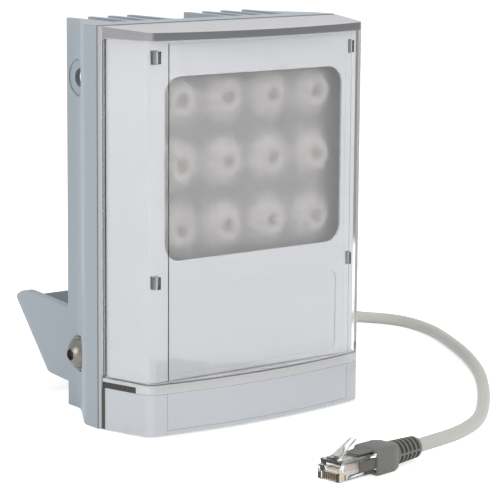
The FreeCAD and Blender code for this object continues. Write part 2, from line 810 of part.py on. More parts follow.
# Light board on a thermal pad, twelve emitters, cup holders and collimating lenses
pad_front = pedestal_reach + pad_thick
board_front = pad_front + board_thick
half_board = board_width / 2
board_low = led_middle - board_high / 2
board_top = led_middle + board_high / 2
node(box(1 - half_board, half_board - 1, -pad_front, -pedestal_reach, board_low + 1, board_top - 1, "pad"),
     "thermal_pad")
screw_x = half_board - 3.5
board_spots = [(side * screw_x, level) for side in (1, -1) for level in (board_low + 3.5, board_top - 3.5)]
board = box(-half_board, half_board, -board_front, -pad_front, board_low, board_top, "board")
node(board, "led_board")
board_heads = []
for x, z in board_spots:
    dome = rod("-Y", x, -board_front, z, 5, 1.6, "board_head")
    board_heads.append(cut(dome, hexagon("-Y", x, -board_front - 0.8, z, 2, 1.2, "drive"), "board_screw_one"))
node(group(board_heads), "board_screws")

emitters = []
holders = []
lenses = []
lens_foot = led_thick + 0.1
for column in (-1.5, -0.5, 0.5, 1.5):
    for level in (-1, 0, 1):
        x = column * led_pitch_x
        z = led_middle + level * led_pitch_z
        emitters.append(box(x - led_size / 2, x + led_size / 2, -board_front - led_thick, -board_front,
                            z - led_size / 2, z + led_size / 2, "emitter"))
        cup = rod("-Y", x, -board_front, z, holder_width, holder_height, "cup")
        holders.append(cut(cup, rod("-Y", x, 1 - board_front, z, lens_width * 0.86, holder_height + 2, "cup_bore"),
                           "holder"))
        body = cone("-Y", x, -board_front - lens_foot, z, lens_width * 0.5, lens_width, lens_height * 0.7, "flare")
        rim = rod("-Y", x, -board_front - lens_foot - lens_height * 0.7, z, lens_width, lens_height * 0.3, "rim")
        lenses.append(fuse([body, rim], "lens"))
node(group(emitters), "led_emitters")
node(group(holders), "lens_holders")
node(group(lenses), "led_lenses")

# Driver board on four pillars in the lower bay, with its larger parts
bay_floor = bay_depth
driver_back = bay_floor - driver_stand
driver_front = driver_back - driver_thick
half_driver = driver_width / 2
driver_low = bay_low + driver_margin
driver_top = bay_high - driver_margin
node(box(-half_driver, half_driver, driver_front, driver_back, driver_low, driver_top, "driver"), "driver_board")
pillars = []
pillar_screws = []
for x in (4 - half_driver, half_driver - 4):
    for z in (driver_low + 4, driver_top - 4):
        pillars.append(hexagon("+Y", x, driver_back, z, 5, driver_stand, "pillar"))
        dome = rod("-Y", x, driver_front, z, 5, 1.6, "pillar_head")
        pillar_screws.append(cut(dome, hexagon("-Y", x, driver_front - 0.8, z, 2, 1.2, "drive"), "pillar_screw_one"))
node(group(pillars), "driver_pillars")
node(group(pillar_screws), "driver_screws")
middle_z = (driver_low + driver_top) / 2
coil_x = 25 - half_driver
coil_core = box(coil_x - 9, coil_x + 9, driver_front - 14, driver_front, middle_z - 9, middle_z + 9, "core")
coil_room = box(coil_x - 4.5, coil_x + 4.5, driver_front - 15, driver_front + 1, middle_z - 5, middle_z + 5, "core_window")
node(cut(coil_core, coil_room, "core_shape"), "transformer_core")
node(rod("-Y", coil_x, driver_front, middle_z, 8.8, 13, "winding"), "transformer_winding")
node(group([rod("-Y", x, driver_front, middle_z + 6, 8, 12, "can") for x in (0, 10.5, 21)]), "capacitors")
node(box(half_driver - 18, half_driver - 6, driver_front - 9, driver_front, middle_z - 9, middle_z + 9, "terminal"), "terminal_block")
node(group([box(x, x + 6, driver_front - 1.6, driver_front, middle_z - 14, middle_z - 8, "chip")
            for x in (-2, 10, 20)]), "driver_chips")

# Tilting yoke, drawn with its web upright and turned to its pose in the photograph
arm_outer = channel_half - arm_gap
arm_inner = arm_outer - arm_thick
eye = eye_width / 2
tangent = eye * 0.70710678
edge_rise = eye * 1.41421356
web_low = web_reach - edge_rise
yoke = doc.addObject("PartDesign::Body", "yoke")
yoke_side = new_sketch(yoke, "YZ_Plane", -arm_outer, "yoke_side")
draw_polygon(yoke_side, [
    (-tangent, tangent),
    (web_high - edge_rise, web_high),
    (web_reach, web_high),
    (web_reach, web_low),
    (tangent, -tangent),
])
pad(yoke, yoke_side, arm_outer * 2)
yoke_eye = new_sketch(yoke, "YZ_Plane", -arm_outer, "yoke_eye")
draw_circle(yoke_eye, 0, 0, eye_width)
blank = pad(yoke, yoke_eye, arm_outer * 2)
doc.recompute()


def across(edge, y, z, near=0.05):
    """True for an edge along X at a place in the side view."""
    if len(edge.Vertexes) != 2 or edge.Curve.TypeId != "Part::GeomLine":
        return False
    a = edge.Vertexes[0].Point
    b = edge.Vertexes[1].Point
    return abs(a.y - y) < near and abs(b.y - y) < near and abs(a.z - z) < near and abs(b.z - z) < near


knees = edges_where(blank.Shape, lambda e: across(e, (web_high - edge_rise).value, web_high.value))
blank = round_edges(yoke, blank, knees, knee_radius)
doc.recompute()
bends = edges_where(blank.Shape, lambda e: upright(e, arm_outer.value, web_reach.value))
blank = round_edges(yoke, blank, bends, bend_radius)
clear = new_sketch(yoke, "XY_Plane", -(eye_width * 2), "clear")
back_face = web_reach - web_thick
draw_polygon(clear, [
    (-arm_inner, -eye_width),
    (arm_inner, -eye_width),
    (arm_inner, back_face),
    (-arm_inner, back_face),
])
opened = pocket(yoke, clear, eye_width * 5, True)
doc.recompute()
inner_bends = edges_where(opened.Shape, lambda e: upright(e, arm_inner.value, back_face.value))
opened = round_edges(yoke, opened, inner_bends, bend_radius - web_thick)
bores = new_sketch(yoke, "YZ_Plane", -arm_outer - 1, "bores")
draw_circle(bores, 0, 0, bolt_width)
pocket(yoke, bores, arm_outer * 2 + 2, True)
web_middle = (web_high + web_low) / 2
fixing = new_sketch(yoke, "XZ_Plane", -(web_reach + 1), "fixing")
draw_circle(fixing, 0, web_middle, web_hole)
pocket(yoke, fixing, web_thick + 2, True)
for side in (1, -1):
    slot = new_sketch(yoke, "XZ_Plane", -(web_reach + 1), "slot")
    draw_slot(slot, side * slot_pitch / 2, web_middle, slot_length, slot_width)
    pocket(yoke, slot, web_thick + 2, True)
yoke.Placement.Rotation = FreeCAD.Rotation(FreeCAD.Vector(1, 0, 0), -rest_tilt)
place(yoke, 0, pivot_depth, pivot_height)
node(yoke, "u_bracket")

# Pivot bolts with button heads, their washers and the nuts on the arms
bolts = []
washers = []
nuts = []
dome_radius = (head_width * head_width / 4 + head_height * head_height) / (2 * head_height)
washer_face = floor_half + seat_gap
head_face = washer_face + washer_thick
nut_face = arm_inner - nut_thick
for side, out, inward in ((1, "+X", "-X"), (-1, "-X", "+X")):
    blank = rod(out, side * head_face, pivot_depth, pivot_height, head_width, head_height, "head_blank")
    dome = ball(side * (head_face + head_height - dome_radius), pivot_depth, pivot_height, dome_radius * 2, "dome")
    shank = rod(inward, side * (head_face + 0.5), pivot_depth, pivot_height, bolt_width,
                head_face + 0.5 - nut_face + 0.4, "shank")
    drive = hexagon(out, side * (head_face + head_height - socket_depth), pivot_depth, pivot_height,
                    head_socket, socket_depth + 1, "drive")
    bolts.append(cut(fuse([common(blank, dome, "button"), shank], "bolt"), drive, "pivot_bolt"))
    ring = rod(out, side * washer_face, pivot_depth, pivot_height, washer_width, washer_thick, "ring")
    hole = rod(out, side * (washer_face - 1), pivot_depth, pivot_height, bolt_width + 0.2, washer_thick + 2, "hole")
    washers.append(cut(ring, hole, "washer"))
    prism = hexagon(inward, side * arm_inner, pivot_depth, pivot_height, nut_flats, nut_thick, "nut_blank")
    thread = rod(inward, side * (arm_inner + 1), pivot_depth, pivot_height, bolt_width, nut_thick + 2, "thread")
    nuts.append(cut(prism, thread, "nut"))
node(group(bolts), "pivot_bolts")
node(group(washers), "pivot_washers")
node(group(nuts), "pivot_nuts")

# Cable gland in the middle channel
gland_stub = base_depth * 0.7 - 0.5
gland_bore = cable_width + 0.4
stub = rod("-Y", 0, base_depth, gland_height, gland_thread, gland_stub, "stub")
collar = hexagon("+Y", 0, base_depth, gland_height, gland_flats, gland_hex, "collar")
neck = rod("+Y", 0, base_depth + gland_hex, gland_height, gland_thread - 1, 4, "neck")
bore = rod("+Y", 0, base_depth - gland_stub - 1, gland_height, gland_bore, gland_stub + gland_hex + 6, "bore")
node(cut(fuse([stub, collar, neck], "gland"), bore, "gland_shape"), "gland_body")
nut_start = base_depth + gland_hex + 0.6
nut_skirt = hexagon("+Y", 0, nut_start, gland_height, gland_flats, 6, "skirt")
nut_dome = cone("+Y", 0, nut_start + 6, gland_height, gland_flats - 1, gland_thread - 5, gland_dome - 6, "dome")
nut_room = rod("+Y", 0, nut_start - 1, gland_height, gland_thread - 1, 4.4, "nut_room")
seal_room = rod("+Y", 0, nut_start + 3, gland_height, cable_width + 3, gland_dome, "seal_room")
node(cut(fuse([nut_skirt, nut_dome], "gland_cap"), [nut_room, seal_room], "gland_cap_shape"), "gland_nut")
seal_ring = rod("+Y", 0, nut_start + 3.4, gland_height, cable_width + 3, gland_dome - 3, "seal_ring")
seal_bore = rod("+Y", 0, nut_start + 2, gland_height, cable_width, gland_dome + 2, "seal_bore")
node(cut(seal_ring, seal_bore, "gland_seal_shape"), "gland_seal")

# Network cable: its hand-laid route, from the gland round to the plug in front
route = [
    (0, 24, 108),
    (0, 60, 108),
    (15, 88, 101),
    (42, 108, 85),
    (76, 118, 61),
    (110, 123, 35),
    (143, 124, 14),
    (176, 115, 3.2),
    (195, 91, 3),
    (191, 61, 3),
    (178, 33, 3),
    (163, 5, 3),
    (143, -25, 3),
    (121, -51, 3),
    (98, -75, 3),
    (74, -97, 3),
    (50, -111, 4),
    (26, -121, 5.8),
    (2, -124.4, 5.8),
]


def tube_path(points, share=0.45):
    """Straight runs joined by tangent arcs as large as the runs allow."""
    spots = [FreeCAD.Vector(*p) for p in points]
    edges = []
    here = spots[0]
    for i in range(1, len(spots) - 1):
        before = spots[i].sub(spots[i - 1])
        after = spots[i + 1].sub(spots[i])
        turn = before.getAngle(after)
        reach = share * min(before.Length, after.Length)
        bend = reach / math.tan(turn / 2)
        along = FreeCAD.Vector(before).normalize()
        away = FreeCAD.Vector(after).normalize()
        start = spots[i].sub(FreeCAD.Vector(along).multiply(reach))
        end = spots[i].add(FreeCAD.Vector(away).multiply(reach))
        inward = FreeCAD.Vector(away).sub(along).normalize()
        depth = bend / math.cos(turn / 2) - bend
        middle = spots[i].add(FreeCAD.Vector(inward).multiply(depth))
        edges.append(Part.LineSegment(here, start).toShape())
        edges.append(Part.Arc(start, middle, end).toShape())
        here = end
    edges.append(Part.LineSegment(here, spots[-1]).toShape())
    return Part.Wire(edges)


path = tube_path(route)
first_run = FreeCAD.Vector(*route[1]).sub(FreeCAD.Vector(*route[0]))
ring = Part.Wire([Part.makeCircle(cable_width.value / 2, FreeCAD.Vector(*route[0]), first_run)])
tube = path.makePipeShell([ring], True, False)
expected = math.pi * (cable_width.value / 2) ** 2 * path.Length
print("cable length %.1f volume ratio %.4f" % (path.Length, tube.Volume / expected))
cable = doc.addObject("Part::Feature", "cable")
cable.Shape = tube
node(cable, "network_cable")

# Plug with its boot, built along -X from the cable's end and then turned into line
end = FreeCAD.Vector(*route[-1])
last_run = end.sub(FreeCAD.Vector(*route[-2]))
heading = math.degrees(math.atan2(-last_run.y, -last_run.x))
boot_length = size("boot_length", 24)
sleeve_length = size("sleeve_length", 12)
sleeve_width = size("sleeve_width", 10)
hood_width = size("hood_width", 14.2)
hood_height = size("hood_height", 11.4)
plug_length = size("plug_length", 26)
plug_width = size("plug_width", 11.9)
plug_height = size("plug_height", 8.3)
plug_seat = size("plug_seat", 3)
latch_length = size("latch_length", 14)
latch_width = size("latch_width", 6.2)
latch_thick = size("latch_thick", 1.1)
latch_back = size("latch_back", 3.2)
latch_rise = 28
tongue_length = size("tongue_length", 8.5)
tongue_width = size("tongue_width", 8.6)
grip = size("grip", 8)


def turned(thing):
    thing.Placement = FreeCAD.Placement(end, FreeCAD.Rotation(FreeCAD.Vector(0, 0, 1), heading))
    return thing


sleeve = cone("-X", grip, 0, 0, sleeve_width - 1, sleeve_width + 1.4, sleeve_length + grip, "sleeve")
hood = box(-boot_length, -sleeve_length + 1, -hood_width / 2, hood_width / 2,
           -hood_height / 2, hood_height / 2, "hood")
ribs = []
for i in range(5):
    start = grip - 4.6 - i * 3.1
    ribs.append(box(start, start + 1.5, -10, 10, 2.6 + 1.1, 10, "rib"))
    ribs.append(box(start, start + 1.5, -10, 10, -10, -2.6 - 1.1, "rib"))
boot_bore = rod("-X", grip + 1, 0, 0, cable_width, grip + 1 + sleeve_length, "boot_bore")
boot_room = box(-boot_length - 1, plug_seat - boot_length, -plug_width / 2, plug_width / 2,
                -plug_height / 2, plug_height / 2, "boot_room")
tongue = box(-boot_length - tongue_length, 1 - boot_length, -tongue_width / 2, tongue_width / 2,
             plug_height / 2, hood_height / 2 - 0.2, "tongue")
boot_throat = box(plug_seat - boot_length - 0.5, -sleeve_length, -4, 4, -3.4, 3.4, "boot_throat")
boot = fuse([sleeve, hood, tongue], "boot")
node(turned(cut(boot, ribs + [boot_bore, boot_room, boot_throat], "boot_shape")), "plug_boot")
plug_start = plug_seat - boot_length
plug_end = plug_start - plug_length
plug = box(plug_end, plug_start, -plug_width / 2, plug_width / 2, -plug_height / 2, plug_height / 2, "plug")
latch_start = plug_end + latch_back
latch_foot = plug_height / 2 - 0.4
latch = box(latch_start, latch_start + latch_length, -latch_width / 2, latch_width / 2,
            latch_foot, latch_foot + latch_thick, "latch")
latch.Placement.Rotation = FreeCAD.Rotation(FreeCAD.Vector(0, 1, 0), -latch_rise)
wire_room = box(plug_start - 21, plug_start + 1, -4.2, 4.2, -2.2, 2.2, "wire_room")
contact_pitch = size("contact_pitch", 1.02)
blades = []
grooves = []
wires = []
for i in range(8):
    y = (i - 3.5) * contact_pitch
    grooves.append(box(plug_end - 1, plug_end + 5.5, y - 0.3, y + 0.3, -plug_height / 2 - 1, -0.6, "groove"))
    blades.append(box(plug_end + 0.4, plug_end + 4.6, y - 0.18, y + 0.18, -plug_height / 2 + 0.5, -0.7, "blade"))
    wires.append(rod("-X", plug_start - 0.2, y, 0, 0.96, 20.4, "wire"))
plug_shell = fuse([plug, latch], "plug_shell")
node(turned(cut(plug_shell, grooves + [wire_room], "plug_shape")), "network_plug")
node(turned(group(blades)), "plug_contacts")
node(turned(group(wires)), "plug_wires")

doc.recompute()
for label in made:
    s = made[label].Shape
    b = s.BoundBox
    print("%-20s %s %2d vol %8.2f cm3  x %.1f..%.1f y %.1f..%.1f z %.1f..%.1f" % (
        label, s.isValid(), len(s.Solids), s.Volume / 1000, b.XMin, b.XMax, b.YMin, b.YMax, b.ZMin, b.ZMax))

# Check every object, then write one file for each piece
faults = []
for item in doc.Objects:
    if "Invalid" in item.State or "Error" in item.State:
        faults.append("%s: %s" % (item.Label, item.State))
for label in made:
    shape = made[label].Shape
    if shape.isNull() or not shape.isValid() or shape.Volume < 0.01:
        faults.append("%s: bad shape" % label)
if faults:
    raise RuntimeError("; ".join(faults))
os.makedirs("parts", exist_ok=True)
for label in made:
    made[label].Shape.exportStep("parts/%s.step" % label)
print("%d pieces written" % len(made))
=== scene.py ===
# %% [markdown]
# # A white light illuminator, dressed for its photograph
#
# The lamp was built as solids first: a cast body with cooling fins, a clear cover, lenses behind
# a frosted pane, a tilting bracket and a network cable. This notebook loads those solids, keeps
# every one whose shape is right, and gives it the surface that the real one has. Pieces that are
# soft or finely moulded are modelled again here, at the same place and size.

# %% Load the lamp
import math

import bpy
from mathutils import Matrix, Vector


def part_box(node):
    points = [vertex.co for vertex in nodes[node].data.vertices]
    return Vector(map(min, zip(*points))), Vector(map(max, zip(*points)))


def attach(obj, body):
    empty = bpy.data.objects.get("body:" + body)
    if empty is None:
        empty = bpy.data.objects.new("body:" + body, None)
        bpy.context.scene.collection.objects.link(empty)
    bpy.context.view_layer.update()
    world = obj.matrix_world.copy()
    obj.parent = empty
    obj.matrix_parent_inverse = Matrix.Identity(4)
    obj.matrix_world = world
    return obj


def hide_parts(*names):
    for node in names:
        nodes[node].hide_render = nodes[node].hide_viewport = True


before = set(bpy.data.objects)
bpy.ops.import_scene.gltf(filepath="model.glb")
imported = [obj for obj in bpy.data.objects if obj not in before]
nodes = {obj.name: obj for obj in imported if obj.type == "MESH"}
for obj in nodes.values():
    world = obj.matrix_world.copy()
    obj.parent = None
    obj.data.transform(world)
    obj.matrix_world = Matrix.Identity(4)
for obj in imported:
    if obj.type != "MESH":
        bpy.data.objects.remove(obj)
bpy.context.view_layer.update()
for piece in nodes.values():
    piece.select_set(False)

# %% [markdown]
# ## The camera
#
# A product photographer uses a long lens from a few steps away, so that upright edges stay nearly
# parallel. The camera looks from the lamp's left front, a little from above. We could aim it with
# a Track To constraint, but we build its axes by hand, because the horizon of the photograph is
# turned by a third of a degree. The middle of the picture is not on the lens axis, and the lens
# shift puts that right.

# %% Camera
VIEW_TURN = math.radians(-37.72)
VIEW_DROP = math.radians(9.0)
VIEW_ROLL = math.radians(0.30)
VIEW_DISTANCE = 1.042
AIM = Vector((0, 0, 0.090))
FOCAL_LENGTH = 163.7
SHIFT_RIGHT, SHIFT_UP = 0.0614, -0.0682

look = Vector((-math.sin(VIEW_TURN) * math.cos(VIEW_DROP),
               math.cos(VIEW_TURN) * math.cos(VIEW_DROP),
               -math.sin(VIEW_DROP)))
level_right = Vector((math.cos(VIEW_TURN), math.sin(VIEW_TURN), 0))
level_up = level_right.cross(look)
right = level_right * math.cos(VIEW_ROLL) + level_up * math.sin(VIEW_ROLL)
up = level_up * math.cos(VIEW_ROLL) - level_right * math.sin(VIEW_ROLL)

bpy.ops.object.camera_add()
camera = bpy.context.object
camera.name = "photo_camera"
turn = Matrix((right, up, -look)).transposed().to_4x4()
camera.matrix_world = Matrix.Translation(AIM - look * VIEW_DISTANCE) @ turn
camera.data.sensor_width = 36
camera.data.lens = FOCAL_LENGTH
camera.data.shift_x = SHIFT_RIGHT
camera.data.shift_y = SHIFT_UP
bpy.context.scene.camera = camera
print("camera at", [round(v, 3) for v in camera.location])

# %% [markdown]
# ## The network cable
#
# The cable is a limp, round, grey one of 6 mm. It leaves its gland at the back, sinks beside the
# lamp to the table, swings out to the right and comes round to the front, where it ends in a
# plug. A NURBS curve draws such a line smoothly from a few listed points. Its thickness is
# the radius of its points times the bevel depth. We leave the depth at 1 and give the points
# the cable's radius, because a curve's box grows by the radius of its points alone. The order
# is set after the points, because it is lowered to fit them.

# %% Cable
CABLE_WIDTH = 0.006
CABLE_ROUTE = [
    (0, 24, 108), (0, 60, 108), (15, 88, 101), (42, 108, 85), (76, 118, 61), (110, 123, 35),
    (143, 124, 14), (176, 115, 3.2), (195, 91, 3), (191, 61, 3), (178, 33, 3), (163, 5, 3),
    (143, -25, 3), (121, -51, 3), (98, -75, 3), (74, -97, 3), (50, -111, 4), (26, -121, 5.8),
    (2, -124.4, 5.8),
]


def metres(point):
    return Vector([value / 1000 for value in point])


cable_line = bpy.data.curves.new("cable_jacket", "CURVE")
cable_line.dimensions = "3D"
spline = cable_line.splines.new("NURBS")
spline.points.add(len(CABLE_ROUTE) - 1)
for spot, point in zip(spline.points, CABLE_ROUTE):
    spot.co = (*metres(point), 1)
    spot.radius = CABLE_WIDTH / 2
spline.order_u = 3
spline.use_endpoint_u = True
spline.resolution_u = 12
cable_line.bevel_depth = 1
cable_line.bevel_resolution = 6
cable_line.use_fill_caps = True
cable_jacket = bpy.data.objects.new("cable_jacket", cable_line)
bpy.context.scene.collection.objects.link(cable_jacket)
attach(cable_jacket, "housing")
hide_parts("network_cable")
print("cable laid through", len(CABLE_ROUTE), "points")

# %% [markdown]
# ## Tools for the moulded end pieces
#
# The boot and the plug are small moulded things, modelled lying along the X axis with the
# cable's end at the origin, and then turned and moved to where the cable ends. Working along an
# axis keeps every measure readable. A handful of helpers wrap the operators: each one starts
# with nothing selected, since an operator acts on all that is selected.

# %% Modelling helpers
MM = 0.001
CABLE_END = metres(CABLE_ROUTE[-1])
END_RUN = CABLE_END - metres(CABLE_ROUTE[-2])
END_HEADING = math.atan2(-END_RUN.y, -END_RUN.x)


def pick(piece):
    bpy.ops.object.select_all(action="DESELECT")
    piece.select_set(True)
    bpy.context.view_layer.objects.active = piece
    return piece


def bake_place():
    bpy.ops.object.transform_apply(location=True, rotation=True, scale=True)


def block(name, low, high):
    """A box between two corners, in millimetres."""
    bpy.ops.object.select_all(action="DESELECT")
    middle = [(a + b) / 2 * MM for a, b in zip(low, high)]
    spans = [(b - a) * MM for a, b in zip(low, high)]
    bpy.ops.mesh.primitive_cube_add(size=1, location=middle, scale=spans)
    piece = bpy.context.object
    piece.name = name
    bake_place()
    return piece


def taper(name, start, end, start_radius, end_radius, sides=48):
    """A round taper along X between two places, in millimetres."""
    bpy.ops.object.select_all(action="DESELECT")
    bpy.ops.mesh.primitive_cone_add(
        vertices=sides, radius1=start_radius * MM, radius2=end_radius * MM,
        depth=abs(end - start) * MM, location=((start + end) / 2 * MM, 0, 0),
        rotation=(0, math.copysign(math.pi / 2, end - start), 0))
    piece = bpy.context.object
    piece.name = name
    bake_place()
    return piece


def choose_faces(piece, test):
    """Enter edit mode with only the faces selected whose middle and normal pass the test."""
    pick(piece)
    bpy.ops.object.mode_set(mode="EDIT")
    bpy.ops.mesh.select_mode(type="FACE")
    bpy.ops.mesh.select_all(action="DESELECT")
    bpy.ops.object.mode_set(mode="OBJECT")
    for face in piece.data.polygons:
        face.select = bool(test(face.center / MM, face.normal))
    bpy.ops.object.mode_set(mode="EDIT")


def boolean(piece, other, operation):
    """Join another piece on, or cut it away, and drop it."""
    pick(piece)
    step = piece.modifiers.new("boolean", "BOOLEAN")
    step.object = other
    step.operation = operation
    step.solver = "EXACT"
    bpy.ops.object.modifier_apply(modifier=step.name)
    bpy.data.objects.remove(other, do_unlink=True)


def round_off(piece, width, segments=3, angle=30):
    """Round all edges sharper than an angle, by a width in millimetres."""
    pick(piece)
    step = piece.modifiers.new("rounding", "BEVEL")
    step.width = width * MM
    step.segments = segments
    step.limit_method = "ANGLE"
    step.angle_limit = math.radians(angle)
    step.harden_normals = False
    bpy.ops.object.modifier_apply(modifier=step.name)


def lay_at_cable_end(piece, node, smooth=35):
    """Turn and move a finished piece into line with the cable, and say what it stands for."""
    pick(piece)
    piece.rotation_euler = (0, 0, END_HEADING)
    piece.location = CABLE_END
    bake_place()
    bpy.ops.object.shade_smooth_by_angle(angle=math.radians(smooth))
    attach(piece, "housing")
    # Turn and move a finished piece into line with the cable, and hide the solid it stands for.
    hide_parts(node)
    box = [round(v / MM, 1) for corner in (piece.bound_box[0], piece.bound_box[6]) for v in corner]
    print(piece.name, len(piece.data.polygons), "faces, box in mm", box)


# %% [markdown]
# ## The rubber boot: sleeve
#
# The boot keeps the cable from kinking where it enters the plug. It is one soft moulding, and
# its round sleeve is cut by five pairs of slots, so that only a core, two spines at the sides
# and the ribs are left, which bend easily. We could draw the ribs one by one, but a slot is
# simpler: a disc with its middle and its two spines taken out. We model one and copy it.

# %% Boot sleeve
SLEEVE_START, SLEEVE_END = 8.0, -10.0
SLOT_COUNT, SLOT_PITCH, SLOT_WIDTH, SLOT_FIRST = 5, 2.75, 1.7, 5.9
CORE_RADIUS, SPINE_HALF = 3.5, 0.45

plug_sleeve = taper("plug_sleeve", SLEEVE_START, SLEEVE_END, 4.7, 5.45)
round_off(plug_sleeve, 0.8)
slot_tool = taper("slot_tool", SLOT_FIRST, SLOT_FIRST - SLOT_WIDTH, 9, 9)
boolean(slot_tool, taper("core", SLEEVE_START, -9, CORE_RADIUS, CORE_RADIUS), "DIFFERENCE")
boolean(slot_tool, block("spines", (-9, -12, -SPINE_HALF), (9, 12, SPINE_HALF)), "DIFFERENCE")
round_off(slot_tool, 0.25, 2)
for number in range(SLOT_COUNT):
    pick(slot_tool)
    bpy.ops.object.duplicate()
    slot_copy = bpy.context.object
    bpy.ops.transform.translate(value=(-number * SLOT_PITCH * MM, 0, 0))
    bake_place()
    boolean(plug_sleeve, slot_copy, "DIFFERENCE")
bpy.data.objects.remove(slot_tool, do_unlink=True)
print("sleeve with", SLOT_COUNT, "pairs of slots,", len(plug_sleeve.data.polygons), "faces")

# %% [markdown]
# ## The rubber boot: hood
#
# Ahead of the sleeve the boot widens to a hood with flat sides that grips the plug. A tongue
# runs from it over the plug, and a flap on each side lies in the plug's sunken flank. Each is a
# block, drawn in or rounded where the real one is, and the boolean joins them to the sleeve, as
# they came out of one mould. The rooms for the plug and the cable are cut, and the flaps, whose
# roots are sunk in the walls of the hood, are joined last.

# %% Boot hood
HOOD_START, HOOD_END = -12.5, -24.0
TONGUE_LENGTH, FLAP_LENGTH = 8.4, 10.5

boot = block("boot", (HOOD_END, -7.1, -5.7), (HOOD_START, 7.1, 5.7))
choose_faces(boot, lambda middle, normal: normal.x > 0.9)
bpy.ops.mesh.extrude_region_move(TRANSFORM_OT_translate={"value": (4.5 * MM, 0, 0)})
bpy.ops.transform.resize(value=(1, 0.76, 0.93))
bpy.ops.object.mode_set(mode="OBJECT")
round_off(boot, 1.5, 4, 12)
boolean(boot, plug_sleeve, "UNION")
tongue = block("tongue", (HOOD_END - TONGUE_LENGTH, -4.2, 4.2), (HOOD_END + 2, 4.2, 5.5))
choose_faces(tongue, lambda middle, normal: normal.x < -0.9)
bpy.ops.transform.resize(value=(1, 0.82, 0.6), center_override=(0, 0, 4.2 * MM))
bpy.ops.object.mode_set(mode="OBJECT")
round_off(tongue, 0.35, 2)
boolean(boot, tongue, "UNION")
plug_room = block("plug_room", (HOOD_END - 1, -5.95, -4.15), (HOOD_END + 3.1, 5.95, 4.15))
boolean(boot, plug_room, "DIFFERENCE")
cable_room = taper("cable_room", SLEEVE_START + 1, HOOD_END + 2.9, 3.02, 3.02)
boolean(boot, cable_room, "DIFFERENCE")
flaps = []
for side in (-1, 1):
    depth = sorted((side * 5.54, side * 6.05))
    flap = block("flap", (HOOD_END - FLAP_LENGTH, depth[0], -2.3), (HOOD_END + 1.2, depth[1], 2.3))
    round_off(flap, 0.2, 2)
    flaps.append(flap)
pick(boot)
for flap in flaps:
    flap.select_set(True)
bpy.ops.object.join()
flap_faces = {face.index for face in boot.data.polygons
              if face.center.x / MM < HOOD_END - 0.1 and abs(face.center.z / MM) < 2.6}
lay_at_cable_end(boot, "plug_boot")
print(len(flap_faces), "faces on the two flaps")

# %% [markdown]
# ## The clear plug
#
# An eight-way network plug is a clear moulding, stepped at its nose, with eight narrow grooves
# for the contacts and a springy latch that rises from the nose towards the cable. The body is a
# block whose side faces are inset and sunk, because the real one is thinner there, and the
# latch is a thin tilted strip with a thicker root. Booleans cut the grooves and the wire room.

# %% Plug
PLUG_START, PLUG_END = -21.0, -47.0
PLUG_HALF_WIDTH, PLUG_HALF_HEIGHT = 5.95, 4.15
CONTACT_COUNT, CONTACT_PITCH = 8, 1.02
LATCH_RISE = math.radians(28)

plug = block("plug", (PLUG_END, -PLUG_HALF_WIDTH, -PLUG_HALF_HEIGHT),
             (PLUG_START, PLUG_HALF_WIDTH, PLUG_HALF_HEIGHT))
choose_faces(plug, lambda middle, normal: abs(normal.y) > 0.9)
bpy.ops.mesh.inset(thickness=1.5 * MM, depth=-0.45 * MM, use_individual=True)
bpy.ops.object.mode_set(mode="OBJECT")
round_off(plug, 0.35, 2)
nose_step = block("nose_step", (PLUG_END - 1, -9, 1.9), (PLUG_END + 1.6, 9, 9))
round_off(nose_step, 0.3, 2)
boolean(plug, nose_step, "DIFFERENCE")
for number in range(CONTACT_COUNT):
    across = (number - (CONTACT_COUNT - 1) / 2) * CONTACT_PITCH
    groove = block("groove", (PLUG_END - 1, across - 0.3, -9), (PLUG_END + 5.5, across + 0.3, -0.6))
    boolean(plug, groove, "DIFFERENCE")
wire_room = block("wire_room", (PLUG_START - 21, -4.2, -2.2), (PLUG_START + 1, 4.2, 2.2))
boolean(plug, wire_room, "DIFFERENCE")
latch = block("latch", (0, -2.6, 0), (14, 2.6, 1.0))
choose_faces(latch, lambda middle, normal: normal.x > 0.9)
bpy.ops.transform.resize(value=(1, 0.62, 0.9))
bpy.ops.object.mode_set(mode="OBJECT")
round_off(latch, 0.25, 2)
pick(latch)
latch.rotation_euler = (0, -LATCH_RISE, 0)
latch.location = ((PLUG_END + 3.2) * MM, 0, (PLUG_HALF_HEIGHT - 0.4) * MM)
bake_place()
boolean(plug, latch, "UNION")
latch_root = block("latch_root", (PLUG_END + 2, -3.1, PLUG_HALF_HEIGHT - 0.5),
                   (PLUG_END + 5.2, 3.1, PLUG_HALF_HEIGHT + 0.9))
round_off(latch_root, 0.4, 2)
boolean(plug, latch_root, "UNION")
lay_at_cable_end(plug, "network_plug")

# %% [markdown]
# ## Stage and light
#
# The lamp was photographed on white. A wide pale floor with a soft shadow keeps it grounded, and
# for the camera the far background is plain white. Metal and clear plastic have to show the same
# white, so the stage is as bright for mirrored and refracted rays as for straight ones.

# %% Floor and world
def seen_by(shader_nodes, links, path):
    """1 for a ray that shows the surface: straight, mirrored or through clear plastic."""
    total = path.outputs["Is Camera Ray"]
    for kind in ("Is Glossy Ray", "Is Transmission Ray"):
        either = shader_nodes.new("ShaderNodeMath")
        either.operation = "MAXIMUM"
        links.new(total, either.inputs[0])
        links.new(path.outputs[kind], either.inputs[1])
        total = either.outputs["Value"]
    return total


